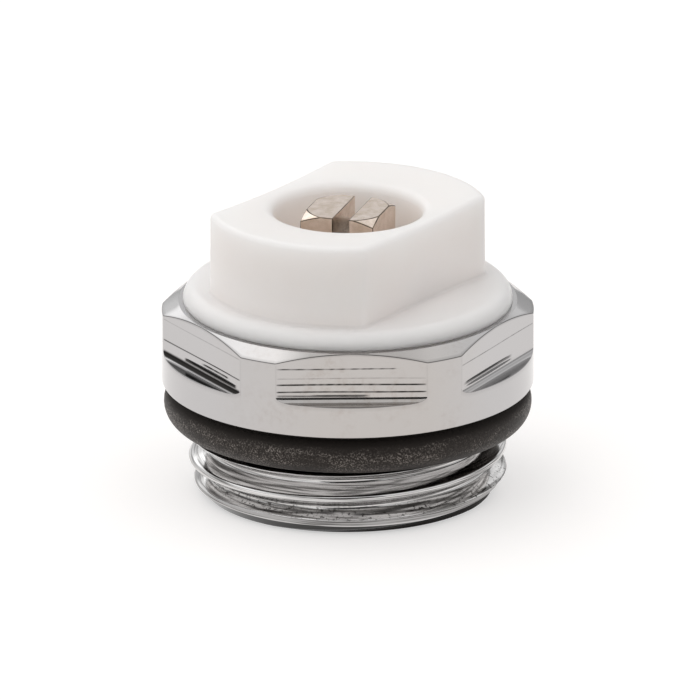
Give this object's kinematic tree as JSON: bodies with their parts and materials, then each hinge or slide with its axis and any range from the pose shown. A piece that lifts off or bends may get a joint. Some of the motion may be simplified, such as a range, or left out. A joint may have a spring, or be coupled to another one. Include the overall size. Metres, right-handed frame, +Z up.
{
  "type": "manual air vent",
  "caption": "Manual radiator air vent: chromed threaded body with spanner flats and rubber sealing ring, white swivelling discharge cap and a square-headed, slotted bleed screw.",
  "frame": {"origin": "centre of the thread's end face, on the vent's axis, which is the bottom centre of the part", "axes": "+Z up the axis from the thread to the bleed screw; -Y is normal to the spanner flat that faces the picture's viewer; +X is to the viewer's right"},
  "size_m": [0.0244, 0.0244, 0.0195],
  "materials": {
    "chrome": "polished chrome plate on brass",
    "white_plastic": "smooth satin",
    "nickel": "nickel plate, machined",
    "rubber": "matte black"
  },
  "bodies": {
    "body": {"vent_body": "chrome", "collar_o_ring": "rubber", "boss_o_ring": "rubber"},
    "cap": {"swivel_cap": "white_plastic", "skirt_o_ring": "rubber"},
    "screw_ring": {"screw_o_ring": "rubber"},
    "screw": {"bleed_screw": "nickel"}
  },
  "joints": [
    {"name": "cap_swivel", "type": "hinge", "parent": "body", "child": "cap", "pos_m": [0, 0, 0.013], "axis": [0, 0, 1], "continuous": true},
    {"name": "screw_lift", "type": "slide", "parent": "body", "child": "screw_ring", "axis": [0, 0, 1], "range_m": [0, 0.0008]},
    {"name": "screw_turn", "type": "hinge", "parent": "screw_ring", "child": "screw", "pos_m": [0, 0, 0.0157], "axis": [0, 0, 1], "range_deg": [0, 360]}
  ],
  "couplings": [
    {"joint": "screw_turn", "follows": "screw_lift", "rad_per_m": 7854}
  ]
}
